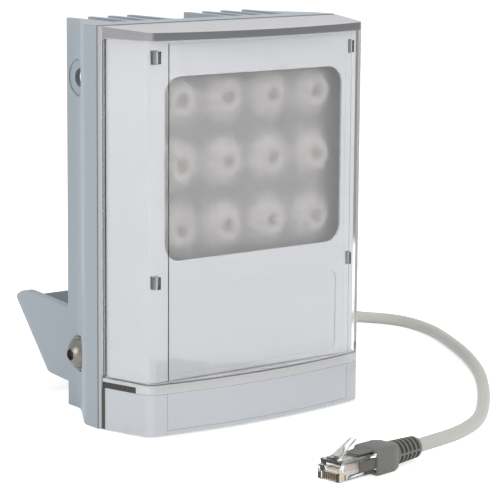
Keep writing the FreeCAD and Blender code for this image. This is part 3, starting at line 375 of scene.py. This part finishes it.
bpy.ops.mesh.primitive_plane_add(size=8, location=(0, 0, 0))
floor = bpy.context.object
floor.name = "floor"
floor_paint = bpy.data.materials.new("floor_paint")
floor_paint.use_nodes = True
floor_nodes = floor_paint.node_tree.nodes
floor_links = floor_paint.node_tree.links
floor_shader = floor_nodes["Principled BSDF"]
floor_shader.inputs["Base Color"].default_value = (0.9, 0.9, 0.9, 1)
floor_shader.inputs["Roughness"].default_value = 0.9
floor_shader.inputs["Specular IOR Level"].default_value = 0.1
floor_glow = floor_nodes.new("ShaderNodeEmission")
floor_glow.inputs["Strength"].default_value = 0.55
floor_path = floor_nodes.new("ShaderNodeLightPath")
floor_sum = floor_nodes.new("ShaderNodeAddShader")
floor_mix = floor_nodes.new("ShaderNodeMixShader")
floor_links.new(floor_shader.outputs["BSDF"], floor_sum.inputs[0])
floor_links.new(floor_glow.outputs["Emission"], floor_sum.inputs[1])
floor_links.new(seen_by(floor_nodes, floor_links, floor_path), floor_mix.inputs["Fac"])
floor_links.new(floor_shader.outputs["BSDF"], floor_mix.inputs[1])
floor_links.new(floor_sum.outputs["Shader"], floor_mix.inputs[2])
floor_links.new(floor_mix.outputs["Shader"], floor_nodes["Material Output"].inputs["Surface"])
floor.data.materials.append(floor_paint)

world = bpy.data.worlds.new("studio")
bpy.context.scene.world = world
world.use_nodes = True
world_nodes = world.node_tree.nodes
world_links = world.node_tree.links
world_path = world_nodes.new("ShaderNodeLightPath")
world_level = world_nodes.new("ShaderNodeMapRange")
world_level.inputs["To Min"].default_value = 0.55
world_level.inputs["To Max"].default_value = 1.0
world_links.new(seen_by(world_nodes, world_links, world_path), world_level.inputs["Value"])
world_links.new(world_level.outputs["Result"], world_nodes["Background"].inputs["Strength"])
world_nodes["Background"].inputs["Color"].default_value = (1, 1, 1, 1)
bpy.context.scene.view_settings.view_transform = "Standard"
print("floor and world set")

# %% [markdown]
# ## Lamps and a dark card
#
# Three large soft lamps light the lamp: a broad one from the front, one from the left for the
# flank, and one from above for the roof. Clear plastic has no colour of its own and would melt
# into a white room, so a dark card stands behind it on the right. The camera doesn't see the
# card itself, only what the clear edges bend towards it.


# %% Lamps
def soft_lamp(name, place, size, power):
    bpy.ops.object.light_add(type="AREA", location=place)
    lamp = bpy.context.object
    lamp.name = name
    lamp.data.shape = "DISK"
    lamp.data.size = size
    lamp.data.energy = power
    aim = Vector((0, 0, 0.09)) - Vector(place)
    lamp.rotation_euler = aim.to_track_quat("-Z", "Y").to_euler()
    return lamp


CARD_PLACE = (0.34, 0.33, 0.16)
CARD_SCALE = (0.40, 0.32, 1)
CARD_BLACK = (0.02, 0.02, 0.02, 1)
bpy.ops.mesh.primitive_plane_add(size=1, location=CARD_PLACE, rotation=(math.pi / 2, 0, VIEW_TURN))
card = bpy.context.object
card.name = "dark_card"
card.scale = CARD_SCALE
pick(card)
bake_place()
card_paper = bpy.data.materials.new("card_paper")
card_paper.use_nodes = True
card_shader = card_paper.node_tree.nodes["Principled BSDF"]
card_shader.inputs["Base Color"].default_value = CARD_BLACK
card.data.materials.append(card_paper)
card.visible_camera = False
card.visible_diffuse = False
card.visible_glossy = False
card.visible_shadow = False
soft_lamp("front_light", (-0.3, -1.9, 1.0), 1.2, 20)
soft_lamp("left_light", (-1.9, 0.1, 0.7), 1.2, 12)
soft_lamp("top_light", (0.3, 0.3, 1.9), 1.0, 6.5)
print("stage set")

# %% [markdown]
# ## Finishes
#
# Each finish starts from one Principled shader. A noise texture read in Object coordinates
# varies its colour and roughness a little, and a finer one gives the surface its texture through
# a bump, because no painted, cast or moulded surface is quite even. A helper lays these
# nodes, so that every finish is set by a few numbers.


# %% Finish helper
def finish(name, colour, roughness, metallic=0.0, mottle=0.03, mottle_scale=60.0,
           grain=0.0, grain_scale=900.0, sockets=None):
    """A material whose colour, roughness and relief vary with noise in the part's own space."""
    material = bpy.data.materials.new(name)
    material.use_nodes = True
    tree = material.node_tree
    shader = tree.nodes["Principled BSDF"]
    spots = tree.nodes.new("ShaderNodeTexCoord")
    shader.inputs["Base Color"].default_value = (*colour, 1)
    shader.inputs["Roughness"].default_value = roughness
    if mottle:
        cloud = tree.nodes.new("ShaderNodeTexNoise")
        cloud.inputs["Scale"].default_value = mottle_scale
        cloud.inputs["Detail"].default_value = 4
        tree.links.new(spots.outputs["Object"], cloud.inputs["Vector"])
        tint = tree.nodes.new("ShaderNodeMix")
        tint.data_type = "RGBA"
        tint.inputs["A"].default_value = [max(0, v * (1 - mottle)) for v in colour] + [1]
        tint.inputs["B"].default_value = [min(1, v * (1 + mottle)) for v in colour] + [1]
        tree.links.new(cloud.outputs["Fac"], tint.inputs["Factor"])
        tree.links.new(tint.outputs["Result"], shader.inputs["Base Color"])
        sheen = tree.nodes.new("ShaderNodeMapRange")
        sheen.inputs["To Min"].default_value = max(0.0, roughness - 0.05)
        sheen.inputs["To Max"].default_value = min(1.0, roughness + 0.05)
        tree.links.new(cloud.outputs["Fac"], sheen.inputs["Value"])
        tree.links.new(sheen.outputs["Result"], shader.inputs["Roughness"])
    shader.inputs["Metallic"].default_value = metallic
    if grain:
        fine = tree.nodes.new("ShaderNodeTexNoise")
        fine.inputs["Scale"].default_value = grain_scale
        fine.inputs["Detail"].default_value = 3
        relief = tree.nodes.new("ShaderNodeBump")
        relief.inputs["Strength"].default_value = grain
        relief.inputs["Distance"].default_value = 0.0002
        tree.links.new(spots.outputs["Object"], fine.inputs["Vector"])
        tree.links.new(fine.outputs["Fac"], relief.inputs["Height"])
        tree.links.new(relief.outputs["Normal"], shader.inputs["Normal"])
    for socket, value in (sockets or {}).items():
        shader.inputs[socket].default_value = value
    return material


def dress(names, material):
    for name in names:
        piece = nodes[name] if name in nodes else bpy.data.objects[name]
        piece.data.materials.clear()
        piece.data.materials.append(material)


def let_lamps_through(material, tint):
    """Clear plastic passes light on: rays from lamps cross it with only a slight loss."""
    tree = material.node_tree
    shader = tree.nodes["Principled BSDF"]
    path = tree.nodes.new("ShaderNodeLightPath")
    clear = tree.nodes.new("ShaderNodeBsdfTransparent")
    clear.inputs["Color"].default_value = (*tint, 1)
    mix = tree.nodes.new("ShaderNodeMixShader")
    tree.links.new(path.outputs["Is Shadow Ray"], mix.inputs["Fac"])
    tree.links.new(shader.outputs["BSDF"], mix.inputs[1])
    tree.links.new(clear.outputs["BSDF"], mix.inputs[2])
    tree.links.new(mix.outputs["Shader"], tree.nodes["Material Output"].inputs["Surface"])


# %% [markdown]
# ## Tools for changing a finish from place to place
#
# One moulding can look different from place to place: clear where it is thin, milky where it is
# thick. A zone is a value between 0 and 1, read from a position or from the way that the surface
# faces, and a second colour or number is blended in where the zone is 1. Painting the places on
# an image would do as well, but a zone stays sharp and needs no unwrapping.


# %% Zone helpers
def zone(material, source, axis, start, full):
    """Climb from 0 to 1 along an axis of the part ("Object") or of its surface ("Normal")."""
    tree = material.node_tree
    spots = tree.nodes.new("ShaderNodeTexCoord")
    parts = tree.nodes.new("ShaderNodeSeparateXYZ")
    ramp = tree.nodes.new("ShaderNodeMapRange")
    ramp.inputs["From Min"].default_value = start
    ramp.inputs["From Max"].default_value = full
    tree.links.new(spots.outputs[source], parts.inputs["Vector"])
    tree.links.new(parts.outputs[axis], ramp.inputs["Value"])
    return ramp.outputs["Result"]


def combine(material, operation, first, second=None):
    tree = material.node_tree
    step = tree.nodes.new("ShaderNodeMath")
    step.operation = operation
    tree.links.new(first, step.inputs[0])
    if second is not None:
        tree.links.new(second, step.inputs[1])
    return step.outputs["Value"]


def blend_colour(material, area, colour):
    """Lay a second colour over a finish where the area is 1."""
    tree = material.node_tree
    socket = tree.nodes["Principled BSDF"].inputs["Base Color"]
    step = tree.nodes.new("ShaderNodeMix")
    step.data_type = "RGBA"
    step.inputs["A"].default_value = socket.default_value
    if socket.is_linked:
        tree.links.new(socket.links[0].from_socket, step.inputs["A"])
    step.inputs["B"].default_value = (*colour, 1)
    tree.links.new(area, step.inputs["Factor"])
    tree.links.new(step.outputs["Result"], socket)


def blend_number(material, area, name, value):
    """Change a number of a finish to a second one where the area is 1."""
    tree = material.node_tree
    socket = tree.nodes["Principled BSDF"].inputs[name]
    step = tree.nodes.new("ShaderNodeMapRange")
    step.inputs["To Min"].default_value = socket.default_value
    step.inputs["To Max"].default_value = value
    tree.links.new(area, step.inputs["Value"])
    tree.links.new(step.outputs["Result"], socket)


# %% [markdown]
# ## Paint and metal
#
# The casting and the bracket have the same dull blue-grey powder coat, whose orange-peel relief
# is a fine bump. A dark tone along the casting's front edge stands for the shadow in the joint to
# the frame.
# The screws are turned steel, dark where they mirror nothing, and the inserts are brass.

# %% Paint and metal
COAT_COLOUR, COAT_ROUGHNESS = (0.318, 0.363, 0.403), 0.46
coat = finish("blue_grey_coat", COAT_COLOUR, COAT_ROUGHNESS, mottle=0.02,
              grain=0.25, grain_scale=1400)
dress(["u_bracket"], coat)
cast_coat = finish("cast_blue_grey_coat", COAT_COLOUR, COAT_ROUGHNESS, mottle=0.02,
                   grain=0.25, grain_scale=1400)
blend_colour(cast_coat, zone(cast_coat, "Object", "Y", 0.0006, 0.0002), (0.15, 0.17, 0.19))
dress(["heatsink_body"], cast_coat)
steel = finish("turned_steel", (0.20, 0.19, 0.18), 0.28, metallic=1.0, mottle=0.08, mottle_scale=400,
               grain=0.2, grain_scale=2500)
dress(["pivot_bolts", "pivot_washers", "pivot_nuts", "clamp_screws", "cap_screws", "board_screws",
       "driver_screws", "driver_pillars"], steel)
brass = finish("brass", (0.62, 0.44, 0.18), 0.3, metallic=1.0, mottle=0.06, mottle_scale=500)
dress(["cap_inserts"], brass)

# %% [markdown]
# ## The clear cover
#
# The cover is one clear moulding that shows the white frame through its front. Its roof is seen
# edge-on: there the plastic is deep and slightly hazy, and its tones are painted light and shade:
# a painted highlight on top, mid grey at the sides and painted shade along the front edge, where
# one looks into the gap below. Its floor, on the cap, is milky too. So the finish is clear, with
# hazy zones by height, and painted light and shade by the way the surface faces.

# %% Cover
clear = finish("clear_cover_plastic", (0.97, 0.975, 0.98), 0.06, mottle=0.0,
               sockets={"Transmission Weight": 1.0, "IOR": 1.49})
cover_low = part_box("front_cover")[0][2]
cover_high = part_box("front_cover")[1][2]
roof_area = zone(clear, "Object", "Z", cover_high - 0.0054, cover_high - 0.0048)
floor_area = zone(clear, "Object", "Z", cover_low + 0.0044, cover_low + 0.0040)
front_edge_painted_shade = zone(clear, "Normal", "Y", -0.80, -0.93)
top_painted_highlight = zone(clear, "Normal", "Z", 0.35, 0.8)
# Painted light and shade on the roof: mid grey at the sides, painted shade where it faces the front,
# a painted highlight where it faces up.
blend_colour(clear, roof_area, (0.36, 0.355, 0.37))
blend_colour(clear, combine(clear, "MULTIPLY", roof_area, front_edge_painted_shade), (0.15, 0.153, 0.168))
blend_colour(clear, combine(clear, "MULTIPLY", roof_area, top_painted_highlight), (0.52, 0.515, 0.54))
blend_colour(clear, floor_area, (0.66, 0.66, 0.67))
hazy_area = combine(clear, "MAXIMUM", roof_area, floor_area)
blend_number(clear, hazy_area, "Transmission Weight", 0.3)
blend_number(clear, hazy_area, "Roughness", 0.3)
let_lamps_through(clear, (0.93, 0.94, 0.95))
dress(["front_cover"], clear)
print("cover from", round(cover_low * 1000, 1), "to", round(cover_high * 1000, 1),
      "mm, hazy at both ends")

# %% [markdown]
# ## The tinted cap and the white frame
#
# The cap is a milky blue-grey moulding with a little light scattered inside it, and a fine line
# is pressed along three sides of its front panel. The line is far too shallow to model, so a
# darker tone, painted shade for the groove, marks it: the distance from a rectangle, worked out
# from the position, is 0 along the line.

# %% Cap and frame
cap_plastic = finish("tinted_cap_plastic", (0.505, 0.525, 0.55), 0.22, mottle=0.02,
                     sockets={"Subsurface Weight": 0.3, "Subsurface Radius": (0.004, 0.004, 0.004),
                              "Subsurface Scale": 1.0})
cap_low, cap_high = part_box("foot_cap")
PANEL_LOW, PANEL_HIGH = cap_low[2] + 0.0027, cap_high[2] + 0.001
LINE_WIDTH = 0.0007
PANEL_MIDDLE = (0, 0, (PANEL_LOW + PANEL_HIGH) / 2)
PANEL_HALF = (cap_high[0] - 0.0150, 1, (PANEL_HIGH - PANEL_LOW) / 2)


def rectangle_line(material, middle, half, width):
    """1 on the outline of an upright rectangle, seen along Y."""
    tree = material.node_tree
    flow = tree.nodes.new("ShaderNodeTexCoord").outputs["Object"]
    for operation, value in (("SUBTRACT", middle), ("ABSOLUTE", None), ("SUBTRACT", half)):
        step = tree.nodes.new("ShaderNodeVectorMath")
        step.operation = operation
        tree.links.new(flow, step.inputs[0])
        if value is not None:
            step.inputs[1].default_value = value
        flow = step.outputs["Vector"]
    parts = tree.nodes.new("ShaderNodeSeparateXYZ")
    tree.links.new(flow, parts.inputs["Vector"])
    outside = combine(material, "MAXIMUM", parts.outputs["X"], parts.outputs["Z"])
    ramp = tree.nodes.new("ShaderNodeMapRange")
    ramp.inputs["From Min"].default_value = width / 2
    ramp.inputs["From Max"].default_value = 0
    tree.links.new(combine(material, "ABSOLUTE", outside), ramp.inputs["Value"])
    return ramp.outputs["Result"]


pressed_line_painted_shade = rectangle_line(cap_plastic, PANEL_MIDDLE, PANEL_HALF, LINE_WIDTH)
# Painted shade: a darker tone along the pressed line.
blend_colour(cap_plastic, pressed_line_painted_shade, (0.33, 0.34, 0.36))
dress(["foot_cap"], cap_plastic)
white = finish("white_frame_plastic", (0.425, 0.428, 0.438), 0.35, mottle=0.015)
dress(["inner_frame", "front_plate"], white)
print("panel line", round(PANEL_HALF[0] * 2000, 1), "x", round(PANEL_HALF[2] * 2000, 1), "mm")

# %% [markdown]
# ## The frosted pane and the lenses behind it
#
# Behind the window only soft rings are seen. The pane is rough right through, which blurs what
# lies behind it by more the further off it is. Each lens is pale with a darker middle over its
# light source, and a pale round patch painted on the board round it is painted light for the
# glow that spreads there. The lenses stand in a regular grid, so one round zone repeats with
# their pitch, which we measure from the solid.

# %% Pane and lenses
pane = finish("frosted_pane_plastic", (0.745, 0.727, 0.72), 0.82, mottle=0.0,
              sockets={"Transmission Weight": 0.98, "IOR": 1.42})
let_lamps_through(pane, (0.8, 0.8, 0.8))
dress(["diffuser_pane"], pane)

LENS_WIDTH = 0.013
lens_low, lens_high = [Vector(corner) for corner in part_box("led_lenses")]
across = (lens_high.x - lens_low.x - LENS_WIDTH) / 3
along = (lens_high.z - lens_low.z - LENS_WIDTH) / 2
CELL = Vector((across, 1, along))
CELL_CORNER = Vector((lens_low.x + LENS_WIDTH / 2 - across / 2, 0,
                      lens_low.z + LENS_WIDTH / 2 - along / 2))


def round_zone(material, inner, outer):
    """1 within a radius of the nearest lens axis, falling to 0 at a second radius."""
    tree = material.node_tree
    flow = tree.nodes.new("ShaderNodeTexCoord").outputs["Object"]
    steps = (("SUBTRACT", CELL_CORNER), ("DIVIDE", CELL), ("FRACTION", None),
             ("SUBTRACT", (0.5, 0.5, 0.5)), ("MULTIPLY", (CELL.x, 0, CELL.z)), ("LENGTH", None))
    for operation, value in steps:
        step = tree.nodes.new("ShaderNodeVectorMath")
        step.operation = operation
        tree.links.new(flow, step.inputs[0])
        if value is not None:
            step.inputs[1].default_value = value
        flow = step.outputs["Value" if operation == "LENGTH" else "Vector"]
    ramp = tree.nodes.new("ShaderNodeMapRange")
    ramp.inputs["From Min"].default_value = outer
    ramp.inputs["From Max"].default_value = inner
    tree.links.new(flow, ramp.inputs["Value"])
    return ramp.outputs["Result"]


lens_plastic = finish("lens_plastic", (0.80, 0.80, 0.79), 0.22, mottle=0.0,
                      sockets={"Transmission Weight": 0.4, "IOR": 1.49})
blend_colour(lens_plastic, round_zone(lens_plastic, 0.0024, 0.0040), (0.42, 0.415, 0.40))
let_lamps_through(lens_plastic, (0.9, 0.9, 0.9))
dress(["led_lenses"], lens_plastic)
board_mask_with_painted_glow = finish("board_mask_with_painted_glow", (0.25, 0.25, 0.26), 0.5)
# Painted light: a pale round patch on the board round each lens, for the glow that spreads there.
blend_colour(board_mask_with_painted_glow, round_zone(board_mask_with_painted_glow, 0.0094, 0.0116), (0.66, 0.65, 0.635))
dress(["led_board"], board_mask_with_painted_glow)
print("lenses", round(across * 1000, 1), "mm apart across and", round(along * 1000, 1), "mm along")

# %% Inner parts
seal = finish("seal_rubber", (0.028, 0.027, 0.028), 0.6, grain=0.2, grain_scale=1200)
dress(["side_seals", "gland_seal"], seal)
cover_seal = finish("cover_seal_rubber", (0.045, 0.043, 0.045), 0.6, grain=0.2, grain_scale=1200)
# Painted light: above the foot the seal is painted near white, for light piped round it through the
# thick clear wall; below, it stays dark rubber.
blend_colour(cover_seal, zone(cover_seal, "Object", "Z", 0.0235, 0.026), (0.90, 0.89, 0.90))
dress(["cover_seal"], cover_seal)
dress(["thermal_pad"], finish("thermal_sheet", (0.35, 0.37, 0.4), 0.8))
dress(["lens_holders"], finish("holder_plastic", (0.75, 0.75, 0.745), 0.5))
dress(["led_emitters"], finish("emitter_phosphor", (0.40, 0.38, 0.32), 0.5))
dress(["driver_board"], finish("driver_mask", (0.03, 0.18, 0.08), 0.4))
dress(["transformer_core"], finish("ferrite", (0.03, 0.03, 0.03), 0.55))
dress(["transformer_winding"], finish("winding_wire", (0.45, 0.18, 0.07), 0.35, metallic=0.8))
dress(["capacitors"], finish("capacitor_sleeve", (0.03, 0.05, 0.16), 0.3))
dress(["terminal_block"], finish("terminal_plastic", (0.08, 0.3, 0.14), 0.5))
dress(["driver_chips"], finish("chip_resin", (0.02, 0.02, 0.02), 0.5))
dress(["gland_body", "gland_nut"], finish("gland_plastic", (0.25, 0.26, 0.27), 0.45, grain=0.2))

# %% Cord finishes
jacket = finish("cable_vinyl", (0.47, 0.46, 0.43), 0.42, mottle=0.03, mottle_scale=40, grain=0.15)
dress(["cable_jacket"], jacket)
boot_rubber = finish("boot_rubber", (0.13, 0.128, 0.117), 0.5, mottle=0.04, grain=0.2)
dress(["boot"], boot_rubber)
# Painted shade: the flaps get a darker copy of the boot rubber, because they lie in the plug's
# sunken flank.
flap_shade_rubber = finish("boot_flap_rubber", (0.075, 0.073, 0.068), 0.45, mottle=0.04, grain=0.2)
boot.data.materials.append(flap_shade_rubber)
for face in boot.data.polygons:
    face.material_index = int(face.index in flap_faces)
plug_plastic = finish("clear_plug_plastic", (0.80, 0.80, 0.79), 0.08, mottle=0.0,
                      sockets={"Transmission Weight": 1.0, "IOR": 1.5})
let_lamps_through(plug_plastic, (0.9, 0.9, 0.9))
dress(["plug"], plug_plastic)
gold = finish("contact_gold", (0.85, 0.66, 0.45), 0.3, metallic=1.0, mottle=0.1, mottle_scale=500)
dress(["plug_contacts"], gold)
dress(["plug_wires"], finish("wire_vinyl", (0.50, 0.42, 0.37), 0.5, mottle=0.25, mottle_scale=300))

# %% [markdown]
# ## The cord
#
# The cable hangs from its gland and can be laid in other ways.

# %% [markdown]
# ## The last step
#
# Last, the view layer is updated.

# %% Last update
bpy.context.view_layer.update()
